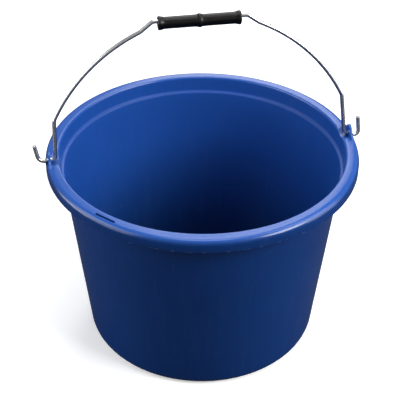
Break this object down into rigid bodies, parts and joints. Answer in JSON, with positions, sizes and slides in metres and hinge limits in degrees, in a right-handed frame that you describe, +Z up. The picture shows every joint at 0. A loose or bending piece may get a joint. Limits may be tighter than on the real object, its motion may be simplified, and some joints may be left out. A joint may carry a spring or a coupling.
{
  "type": "mortar bucket",
  "caption": "Tapered round open-topped plastic bucket with a turned-down rim, a folding wire bail hooked into rim ears and a turning sleeve grip.",
  "frame": {"origin": "centre of the resting plane under the base", "axes": "+Z up through the open mouth, X along the bail's hinge axis through both ears; the bail is stored upright, leaning 10 degrees towards +Y"},
  "size_m": [0.3394, 0.32, 0.3549],
  "materials": {
    "blue_plastic": "satin moulded polypropylene with a fine grain",
    "galvanised_wire": "bright zinc-plated drawn wire",
    "black_plastic": "satin moulded plastic"
  },
  "bodies": {
    "bucket": {"bucket_shell": "blue_plastic"},
    "bail": {"bail_wire": "galvanised_wire"},
    "grip": {"grip_sleeve": "black_plastic"}
  },
  "joints": [
    {"name": "bail_swing", "type": "hinge", "parent": "bucket", "child": "bail", "pos_m": [0, 0, 0.2185], "axis": [1, 0, 0], "range_deg": [-71, 91]},
    {"name": "grip_turn", "type": "hinge", "parent": "bail", "child": "grip", "pos_m": [0.0006, 0.0232, 0.34792], "axis": [1, 0, 0], "continuous": true}
  ]
}
